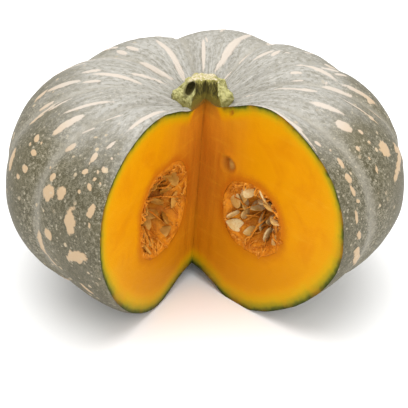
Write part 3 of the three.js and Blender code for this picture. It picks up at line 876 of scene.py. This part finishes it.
stem_points = mesh_array(stem.data, stem.data.vertices) / METRE - np.array((*CORE_AT, 0))
stem_normals = mesh_array(stem.data, stem.data.vertex_normals, "vector")
x, y, z = stem_points.T
near_cut = np.full(len(x), 9.0)
for azimuth, sign in ((CUT_RIGHT, 1), (CUT_LEFT, -1)):
    turn = math.radians(azimuth)
    near_cut = np.minimum(near_cut, np.abs(x * math.cos(turn) + y * math.sin(turn)) + 9 * (y > 0.5))
split_y = LEDGE_Y + (SPLIT_TOP_Y - LEDGE_Y) * (z - LEDGE_Z) / (STEM_TOP + 1 - LEDGE_Z)
in_split = (x > SPLIT_LEFT - 0.5) & (x < SPLIT_RIGHT + 0.5) & (y < split_y + 0.6) & (z > LEDGE_Z - 0.6)
to_crack = stem_points - CRACK[0]
to_crack[:, 0] -= CRACK_SLANT * to_crack[:, 2]
from_crack = np.linalg.norm(to_crack / CRACK[1], axis=1)
cut_open = 1 - smooth((near_cut - 0.3) / 0.4)
torn = in_split.astype(float)
# Painted shade: the crack's hollow is painted dark, and a softer dark band spreads from it towards the lower left.
cracked = 1 - smooth((from_crack - 1.05) / 0.2)
from_crack_shade = np.linalg.norm((to_crack + (0.6, 0, 1.2)) / (CRACK[1] + (1.2, 1.0, 2.0)), axis=1)
crack_shade = 1 - smooth((from_crack_shade - 0.75) / 0.4)
inner = np.maximum(np.maximum(cut_open, torn), cracked)
at_end = smooth((z - (STEM_TOP - 1.4)) / 1.0)

knobs = 0.75 * rough(stem_points, 4.2) + 0.5 * rough(stem_points, 1.9, 7.0) + 0.2 * rough(stem_points, 0.9, 3.0)
fibres = rough(stem_points * np.array((1, 1, 0.16)), 0.8, 2.0)
lift = knobs * (1 - inner) * (1 - 0.5 * at_end) + 0.45 * fibres * np.maximum(torn, at_end) + 0.15 * fibres * cut_open
moved = stem_points + stem_normals * (lift - 0.15)[:, None]
moved[:, 2] = np.minimum(moved[:, 2] + at_end * 0.5 * (rough(stem_points, 1.6, 5.0) - 0.6), STEM_TOP)
stem.data.vertices.foreach_set("co", ((moved + np.array((*CORE_AT, 0))) * METRE).astype(np.float32).ravel())
for key, value in (("open", np.maximum(cut_open, torn)), ("crack", np.maximum(cracked, 0.8 * crack_shade)), ("end", at_end * (1 - cut_open))):
    stem.data.attributes.new(key, "FLOAT", "POINT").data.foreach_set("value", value.astype(np.float32))
stem.data.update()
print("stem", len(stem.data.polygons), "faces", "open", round(float(inner.mean()), 2))

# %% [markdown]
# ### The stem's finish
# Cork is pale green and mottled, and darker where it is low, a painted shade. Torn and cut wood is dark olive, with
# pale fibres that hang down from the rim, and the lowest part of the cut turns into the orange of the flesh. The crack
# and a band below it are painted dark, a painted shade.

# %% Cork


def pale_cork():
    paint = Paint("pale_cork", Specular_IOR_Level=0.25)
    here = paint.here()
    height = paint.node("ShaderNodeSeparateXYZ", None, {0: here}, out="Z")
    knob = paint.cloud(here, 420, 4.0, 0.65)
    fine = paint.cloud(here, 1500, 2.0)
    colour = paint.mix(paint.step(knob, 0.34, 0.62), tone(126, 121, 58), tone(196, 190, 126))
    colour = paint.mix(paint.step(fine, 0.52, 0.7) * 0.45, colour, tone(222, 216, 172))
    # Painted shade: the cork darkens low down.
    low = 1 - paint.step(height + (knob - 0.5) * 0.004, 0.1395, 0.1445)
    colour = paint.mix(low * 0.6, colour, tone(134, 122, 52))
    rim = paint.mix(paint.step(knob + (fine - 0.5) * 0.6, 0.42, 0.60), tone(190, 180, 116), tone(234, 218, 194))
    colour = paint.mix(paint.number("end") * 0.85, colour, rim)

    strings = paint.cloud(paint.stretched(here, (1100, 1100, 120)), 1.0, 3.0, 0.6)
    wood = paint.mix(paint.step(strings, 0.42, 0.64), tone(66, 60, 22), tone(112, 102, 40))
    hanging = paint.step(height + (strings - 0.5) * 0.010, 0.1495, 0.1540)
    wood = paint.mix(hanging * 0.8, wood, tone(188, 178, 96))
    flange = 1 - paint.step(height + (knob - 0.5) * 0.003, 0.1420, 0.1450)
    wood = paint.mix(flange * 0.8, wood, tone(134, 120, 44))
    orange = 1 - paint.step(height + (strings - 0.5) * 0.003, 0.1360, 0.1405)
    wood = paint.mix(orange * 0.8, wood, tone(150, 104, 34))
    colour = paint.mix(paint.number("open"), colour, wood)
    # Painted shade in the crack and in the band below it.
    colour = paint.mix(paint.number("crack") * 0.95, colour, tone(78, 70, 30))
    return paint.finish(colour, 0.85 + (fine - 0.5) * 0.1, knob * 0.6 + fine * 0.3 + strings * 0.4, 0.0006)


stem.data.materials.append(pale_cork())
print("cork on", stem.name)

# %% [markdown]
# ## The pulp
# Behind each cut face the pulp hollows into a pocket. One closed tube fills the cavity, pocket to pocket,
# and stays just inside the wall. Its face is lumpy and stringy, and dark in its depth.

# %% Pulp bed
PULP_INSET = 0.15
POCKET_RIM, POCKET_DEPTH = 0.15, 22
POCKET_RINGS = 36
PULP_STRIDE = 1


def cut_frame(is_left):
    """A cut face's azimuth, and its directions outwards, up and into the fruit."""
    azimuth = CUT_LEFT if is_left else CUT_RIGHT
    turn = math.radians(azimuth)
    out = np.array((math.sin(turn), -math.cos(turn), 0))
    inward = np.array((math.cos(turn), math.sin(turn), 0)) * (-1 if is_left else 1)
    return azimuth, out, np.array((0, 0, 1.0)), inward


def pocket_point(is_left, angle, share, sunk=0.0):
    """Points of a pocket: a direction round the mouth's middle, and the share of the way to that middle."""
    azimuth, out, up, inward = cut_frame(is_left)
    r, z = cavity_edge(azimuth, angle, PULP_INSET)
    middle = mouth_at(azimuth)
    r, z = r + (middle[0] - r) * share, z + (middle[1] - z) * share
    depth = POCKET_RIM + POCKET_DEPTH * smooth(1.25 * share) + 1.6 * np.sin(9 * angle) * np.sin(np.pi * share)
    return place(azimuth, r, z) + (depth + sunk)[..., None] * inward


def pocket_rows(is_left):
    angles = (left_angles if is_left else right_angles)[::PULP_STRIDE]
    pocket_shares = np.linspace(0, 1, POCKET_RINGS + 1)[:, None]
    points = pocket_point(is_left, angles[None, :] + 0 * pocket_shares, pocket_shares + 0 * angles[None, :])
    bumps = 1.6 * rough(points, 7.0, 3.0) + 1.3 * rough(points, 3.2, 8.0) + 0.7 * rough(points, 1.5)
    bumps *= smooth(pocket_shares * 6)
    _, out, up, inward = cut_frame(is_left)
    points = points + bumps[..., None] * inward
    points[-1] = points[-1].mean(0)
    return points, pocket_shares + 0 * bumps, bumps


left_rows, left_shares, left_bumps = pocket_rows(True)
right_rows, right_shares, right_bumps = pocket_rows(False)
middle_rows = np.array([cavity_ring(share, PULP_INSET)[0][::PULP_STRIDE] for share in np.linspace(0, 1, 22)[1:-1]])
pulp_points = np.concatenate([left_rows[::-1], middle_rows[::-1], right_rows])
pulp_shares = np.concatenate([left_shares[::-1], 0 * middle_rows[..., 0], right_shares])
pulp_bumps = np.concatenate([left_bumps[::-1], 0 * middle_rows[..., 0], right_bumps])
print("pulp grid", pulp_points.shape)


def stringy_pulp(name, dark, pale, bright):
    paint = Paint(name, Specular_IOR_Level=0.06)
    here = paint.here()
    clump = paint.cloud(here, 130, 3.0, 0.6, 0.6)
    fine = paint.cloud(here, 700, 3.0, 0.6)
    colour = paint.mix(paint.step(clump, 0.38, 0.62), dark, pale)
    colour = paint.mix(paint.step(fine, 0.54, 0.72) * 0.5, colour, bright)
    shade = paint.step(paint.number("share"), 0.10, 0.60) * 0.45
    colour = paint.mix(shade, colour, tone(164, 96, 28))
    return paint.finish(colour, 0.4 + (fine - 0.5) * 0.2, clump * 0.8 + fine * 0.5, 0.0011)


bed_finish = stringy_pulp("stringy_pulp", tone(206, 118, 26), tone(242, 152, 36), tone(254, 190, 80))
pulp_grids = Grids()
pulp_grids.add(pulp_points, 0, flip=False, wrap=True, share=pulp_shares)
pulp = pulp_grids.object("squash_pulp", [bed_finish], sharp=80)

# %% [markdown]
# ## Seeds
# A squash seed is a flat drop with a thin raised margin. We model one, then let Geometry Nodes scatter it
# over each pocket: points spread on the surface, a turn that follows it, and a random tilt.

# %% One seed
SEED_LENGTH, SEED_WIDTH, SEED_THICKNESS = 15.0, 9.0, 3.2


def seed_mesh():
    """A seed that lies in its XY plane with its point along +X, in metres."""
    import bmesh

    rings = ((0.0, 0.55), (0.45, 0.62), (0.74, 0.50), (0.86, 0.42), (0.94, 0.46), (1.0, 0.0))
    work = bmesh.new()
    count = 16
    rows = {}
    for side in (1, -1):
        for k, (share, height) in enumerate(rings):
            if k == len(rings) - 1 and side == -1:
                rows[side, k] = rows[1, k]
                continue
            if k == 0:
                rows[side, k] = [work.verts.new((0, 0, side * height * SEED_THICKNESS / 2 * METRE))]
                continue
            ring = []
            for j in range(count):
                turn = 2 * math.pi * j / count
                x = math.cos(turn)
                pinch = 1 - 0.42 * float(smooth(np.array(x)))
                y = math.sin(turn) * pinch
                ring.append(work.verts.new((
                    share * x * SEED_LENGTH / 2 * METRE,
                    share * y * SEED_WIDTH / 2 * METRE,
                    side * height * SEED_THICKNESS / 2 * METRE,
                )))
            rows[side, k] = ring
    for side in (1, -1):
        for k in range(len(rings) - 1):
            inner, outer = rows[side, k], rows[side, k + 1]
            for j in range(count):
                n = (j + 1) % count
                corners = [inner[0], outer[j], outer[n]] if k == 0 else [inner[j], outer[j], outer[n], inner[n]]
                work.faces.new(corners if side == 1 else corners[::-1])
    mesh = bpy.data.meshes.new("one_seed")
    work.to_mesh(mesh)
    work.free()
    mesh.shade_smooth()
    return mesh


seed_shape = seed_mesh()
print("a seed has", len(seed_shape.polygons), "faces")

# %% Seed finish


def seed_coat():
    paint = Paint("cream_seed", Specular_IOR_Level=0.12)
    here = paint.here()
    stain = paint.cloud(here, 90, 2.0)
    fine = paint.cloud(here, 900, 3.0)
    side = paint.node("ShaderNodeSeparateXYZ", None, {0: here}, out="X")
    # The left pocket's seeds take a darker tan, partly an orange film of pulp and partly painted shade; the right
    # pocket's are clean cream.
    deep = paint.mix(paint.step(stain, 0.40, 0.60), tone(224, 166, 76), tone(186, 128, 44))
    clean_seed = paint.mix(paint.step(stain, 0.40, 0.60), tone(238, 210, 152), tone(220, 172, 94))
    colour = paint.mix(paint.step(side, -0.004, 0.004), deep, clean_seed)
    colour = paint.mix(paint.step(fine, 0.50, 0.72) * 0.55, colour, tone(204, 128, 44))
    return paint.finish(colour, 0.38 + (fine - 0.5) * 0.15, fine, 0.0003)


seed_finish = seed_coat()
seed_shape.materials.append(seed_finish)
one_seed = bpy.data.objects.new("one_seed", seed_shape)

# %% [markdown]
# ### The scattering tree
# The tree takes a surface, spreads points on it no closer than a spacing, and puts a turned seed on each.
# The sizes are inputs of the tree, so both pockets use the same tree with their own numbers.

# %% Scattering tree


def tree_socket(tree, name, kind, value=None):
    made = tree.interface.new_socket(name, in_out="INPUT", socket_type=kind)
    if value is not None:
        made.default_value = value
    return made


def scatter_tree():
    tree = bpy.data.node_groups.new("scatter_seeds", "GeometryNodeTree")
    tree.interface.new_socket("Geometry", in_out="OUTPUT", socket_type="NodeSocketGeometry")
    tree_socket(tree, "Geometry", "NodeSocketGeometry")
    tree_socket(tree, "Seed shape", "NodeSocketObject")
    tree_socket(tree, "Spacing", "NodeSocketFloat", 0.006)
    tree_socket(tree, "Density", "NodeSocketFloat", 20000.0)
    tree_socket(tree, "Tilt", "NodeSocketFloat", 0.6)
    tree_socket(tree, "Lift", "NodeSocketFloat", 0.001)
    tree_socket(tree, "Random seed", "NodeSocketInt", 1)
    tree_socket(tree, "Finish", "NodeSocketMaterial")
    nodes, links = tree.nodes, tree.links
    given = nodes.new("NodeGroupInput")
    spread = nodes.new("GeometryNodeDistributePointsOnFaces")
    spread.distribute_method = "POISSON"
    links.new(given.outputs["Geometry"], spread.inputs["Mesh"])
    links.new(given.outputs["Spacing"], spread.inputs["Distance Min"])
    links.new(given.outputs["Density"], spread.inputs["Density Max"])
    links.new(given.outputs["Random seed"], spread.inputs["Seed"])
    shape = nodes.new("GeometryNodeObjectInfo")
    links.new(given.outputs["Seed shape"], shape.inputs["Object"])
    angles = nodes.new("FunctionNodeRandomValue")
    angles.data_type = "FLOAT_VECTOR"
    links.new(given.outputs["Random seed"], angles.inputs["Seed"])
    low = nodes.new("ShaderNodeCombineXYZ")
    high = nodes.new("ShaderNodeCombineXYZ")
    minus = nodes.new("ShaderNodeMath")
    minus.operation = "MULTIPLY"
    minus.inputs[1].default_value = -1.0
    links.new(given.outputs["Tilt"], minus.inputs[0])
    for corner, tilt, turn in ((low, minus.outputs[0], -3.14159), (high, given.outputs["Tilt"], 3.14159)):
        links.new(tilt, corner.inputs["X"])
        links.new(tilt, corner.inputs["Y"])
        corner.inputs["Z"].default_value = turn
    links.new(low.outputs[0], angles.inputs["Min"])
    links.new(high.outputs[0], angles.inputs["Max"])
    as_turn = nodes.new("FunctionNodeEulerToRotation")
    links.new(angles.outputs["Value"], as_turn.inputs[0])
    turned = nodes.new("FunctionNodeRotateRotation")
    turned.rotation_space = "LOCAL"
    links.new(spread.outputs["Rotation"], turned.inputs["Rotation"])
    links.new(as_turn.outputs[0], turned.inputs["Rotate By"])
    lift = nodes.new("ShaderNodeVectorMath")
    lift.operation = "SCALE"
    links.new(spread.outputs["Normal"], lift.inputs[0])
    links.new(given.outputs["Lift"], lift.inputs["Scale"])
    raised = nodes.new("GeometryNodeSetPosition")
    links.new(spread.outputs["Points"], raised.inputs["Geometry"])
    links.new(lift.outputs[0], raised.inputs["Offset"])
    size = nodes.new("FunctionNodeRandomValue")
    size.data_type = "FLOAT"
    size.inputs[2].default_value, size.inputs[3].default_value = 0.82, 1.06
    put = nodes.new("GeometryNodeInstanceOnPoints")
    links.new(raised.outputs[0], put.inputs["Points"])
    links.new(shape.outputs["Geometry"], put.inputs["Instance"])
    links.new(turned.outputs[0], put.inputs["Rotation"])
    links.new(size.outputs[1], put.inputs["Scale"])
    real = nodes.new("GeometryNodeRealizeInstances")
    links.new(put.outputs[0], real.inputs[0])
    painted = nodes.new("GeometryNodeSetMaterial")
    links.new(real.outputs[0], painted.inputs["Geometry"])
    links.new(given.outputs["Finish"], painted.inputs["Material"])
    end = nodes.new("NodeGroupOutput")
    links.new(painted.outputs[0], end.inputs[0])
    return tree


def grown(carrier, tree, name, values):
    """The plain mesh object that a tree grows on a carrier, which is then thrown away."""
    modifier = carrier.modifiers.new("grow", "NODES")
    modifier.node_group = tree
    sockets = {item.name: item.identifier for item in tree.interface.items_tree if item.in_out == "INPUT"}
    for key, value in values.items():
        modifier[sockets[key]] = value
    made = applied(carrier, name)
    print(name, len(made.data.polygons), "faces", [m.name for m in made.data.materials])
    return made


def carrier_of(points, name, wrap=False):
    """A plain sheet for a tree to grow on, facing the missing wedge."""
    grids = Grids()
    grids.add(points, 0, wrap=wrap)
    return grids.object(name, [], sharp=180)


seed_tree = scatter_tree()
print("scattering tree has", len(seed_tree.nodes), "nodes")

# %% Seeds in both pockets
seeds = []
for is_left, rows in ((True, left_rows), (False, right_rows)):
    sheet = rows[7:32]
    carrier = carrier_of(sheet[::-1] if is_left else sheet, "seed_sheet", wrap=True)
    seeds.append(grown(carrier, seed_tree, "squash_seeds_left" if is_left else "squash_seeds_right", {
        "Seed shape": one_seed,
        "Spacing": 0.0085 if is_left else 0.0074,
        "Density": 30000.0,
        "Tilt": 0.9,
        "Lift": 0.0004 if is_left else 0.001,
        "Random seed": 11 if is_left else 5,
        "Finish": seed_finish,
    }))

# %% [markdown]
# ## Strings of pulp
# Orange fibres hang from the wall and cross the pockets. Each is a bent line between two places of the
# pocket. A second small tree gives the lines their thickness.

# %% Lines for the strings


def string_lines(is_left, count, seed):
    """Bent lines across a pocket, as an object of edges."""
    draw = np.random.default_rng(seed)
    _, out, up, inward = cut_frame(is_left)
    points, edges = [], []
    for number in range(count):
        angle = draw.uniform(-np.pi, np.pi)
        tuft = number % 3 > 0
        near, far = (draw.uniform(0.02, 0.12), draw.uniform(0.1, 0.32)) if tuft else draw.uniform((0.04, 0.35), (0.4, 0.95))
        first = pocket_point(is_left, np.array(angle), np.array(near), np.array(0.6))
        last = pocket_point(is_left, np.array(angle + draw.normal(0, 0.2 if tuft else 0.55)), np.array(far), np.array(0.6))
        bow = -inward * draw.uniform(0.5, 3.0 if tuft else 5.0) + up * draw.normal(0, 2.0) + out * draw.normal(0, 1.5)
        start = len(points)
        for t in np.linspace(0, 1, 11):
            wobble = np.array([noise.noise(Vector((t * 3, angle * 7, k * 9.0))) for k in range(3)]) * 1.6
            points.append(first * (1 - t) + last * t + (bow * 4 * t * (1 - t)) + wobble * math.sin(math.pi * t))
        edges += [(start + k, start + k + 1) for k in range(10)]
    places = (np.array(points) + np.array((CORE_AT[0], CORE_AT[1], 0))) * METRE
    mesh = bpy.data.meshes.new("string_lines")
    mesh.from_pydata(places.tolist(), edges, [])
    made = bpy.data.objects.new("string_lines", mesh)
    bpy.context.scene.collection.objects.link(made)
    return made


def string_tree():
    tree = bpy.data.node_groups.new("thicken_strings", "GeometryNodeTree")
    tree.interface.new_socket("Geometry", in_out="OUTPUT", socket_type="NodeSocketGeometry")
    tree_socket(tree, "Geometry", "NodeSocketGeometry")
    tree_socket(tree, "Thinnest", "NodeSocketFloat", 0.0004)
    tree_socket(tree, "Thickest", "NodeSocketFloat", 0.0011)
    tree_socket(tree, "Sides", "NodeSocketInt", 6)
    tree_socket(tree, "Random seed", "NodeSocketInt", 1)
    tree_socket(tree, "Finish", "NodeSocketMaterial")
    nodes, links = tree.nodes, tree.links
    given = nodes.new("NodeGroupInput")
    line = nodes.new("GeometryNodeMeshToCurve")
    links.new(given.outputs["Geometry"], line.inputs["Mesh"])
    thick = nodes.new("FunctionNodeRandomValue")
    thick.data_type = "FLOAT"
    links.new(given.outputs["Thinnest"], thick.inputs[2])
    links.new(given.outputs["Thickest"], thick.inputs[3])
    links.new(given.outputs["Random seed"], thick.inputs["Seed"])
    sized = nodes.new("GeometryNodeSetCurveRadius")
    links.new(line.outputs[0], sized.inputs["Curve"])
    links.new(thick.outputs[1], sized.inputs["Radius"])
    ring = nodes.new("GeometryNodeCurvePrimitiveCircle")
    ring.inputs["Radius"].default_value = 1.0
    links.new(given.outputs["Sides"], ring.inputs["Resolution"])
    tube = nodes.new("GeometryNodeCurveToMesh")
    tube.inputs["Fill Caps"].default_value = True
    links.new(sized.outputs[0], tube.inputs["Curve"])
    links.new(ring.outputs["Curve"], tube.inputs["Profile Curve"])
    if "Scale" in tube.inputs:
        radius = nodes.new("GeometryNodeInputRadius")
        links.new(radius.outputs[0], tube.inputs["Scale"])
    real = nodes.new("GeometryNodeRealizeInstances")
    links.new(tube.outputs[0], real.inputs[0])
    soft = nodes.new("GeometryNodeSetShadeSmooth")
    links.new(real.outputs[0], soft.inputs["Geometry"])
    painted = nodes.new("GeometryNodeSetMaterial")
    links.new(soft.outputs[0], painted.inputs["Geometry"])
    links.new(given.outputs["Finish"], painted.inputs["Material"])
    end = nodes.new("NodeGroupOutput")
    links.new(painted.outputs[0], end.inputs[0])
    return tree


# %% Strings in both pockets
thicken = string_tree()
string_finish = stringy_pulp("pulp_strings", tone(206, 118, 26), tone(244, 160, 54), tone(254, 206, 112))
strings = []
for is_left in (True, False):
    lines = string_lines(is_left, 90, 21 if is_left else 33)
    strings.append(grown(lines, thicken, "squash_strings_left" if is_left else "squash_strings_right", {
        "Thinnest": 0.0003,
        "Thickest": 0.0009,
        "Sides": 6,
        "Random seed": 3,
        "Finish": string_finish,
    }))

# %% [markdown]
# ## Hand the pieces to the frame
# Each piece rides on the one body, and the solid that it stands for is hidden.

# %% Attach
for piece, node_name, slot_name in (
    (fruit, "rind_and_flesh", "rind"),
    (stem, "stem", "cork"),
    (pulp, "seed_mass", "pulp"),
    *((piece, "seed_mass", "pulp") for piece in seeds + strings),
):
    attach(piece, "root")
    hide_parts(node_name)
bpy.data.objects.remove(one_seed)

# %% [markdown]
# ## Floor, light and camera
# The squash was photographed on white with soft light from above and a little from the right. The camera
# looks down on it by 29 degrees through a long lens.

# %% Studio
floor_mesh = bpy.data.meshes.new("floor")
floor_mesh.from_pydata([(-4, -4, 0), (4, -4, 0), (4, 4, 0), (-4, 4, 0)], [], [(0, 1, 2, 3)])
floor = bpy.data.objects.new("floor", floor_mesh)
bpy.context.scene.collection.objects.link(floor)
floor_mesh.materials.append(Paint("white_floor", 0.9).finish((0.92, 0.92, 0.915, 1)))


def soft_light(name, at, aim, width, watts, colour=(1, 1, 1)):
    lamp = bpy.data.lights.new(name, "AREA")
    lamp.shape, lamp.size, lamp.energy, lamp.color = "DISK", width, watts, colour
    made = bpy.data.objects.new(name, lamp)
    made.location = at
    made.rotation_euler = (Vector(aim) - Vector(at)).to_track_quat("-Z", "Y").to_euler()
    bpy.context.scene.collection.objects.link(made)
    return made


soft_light("top_softbox", (-0.05, 0.0, 1.5), (0, 0, 0.08), 2.0, 16 * LIGHT_LEVEL)
soft_light("front_softbox", (0.45, -1.2, 0.7), (0, 0, 0.08), 1.2, 4 * LIGHT_LEVEL)
world = bpy.data.worlds.new("studio")
world.use_nodes = True
world.node_tree.nodes["Background"].inputs["Color"].default_value = (1, 1, 1, 1)
world.node_tree.nodes["Background"].inputs["Strength"].default_value = 0.75 * LIGHT_LEVEL
bpy.context.scene.world = world
bpy.context.scene.view_settings.view_transform = "Standard"

# %% Camera
CAMERA_AT = (-0.00025, -0.9900, 0.5990)
LOOKS_DOWN = 28.9
LENS = 142.0
eye = bpy.data.cameras.new("camera")
eye.lens, eye.sensor_width, eye.clip_start = LENS, 36.0, 0.01
camera = bpy.data.objects.new("camera", eye)
camera.location = CAMERA_AT
camera.rotation_euler = (math.radians(90 - LOOKS_DOWN), 0, 0)
bpy.context.scene.collection.objects.link(camera)
bpy.context.scene.camera = camera
print("camera", [round(v, 3) for v in CAMERA_AT], "lens", LENS)
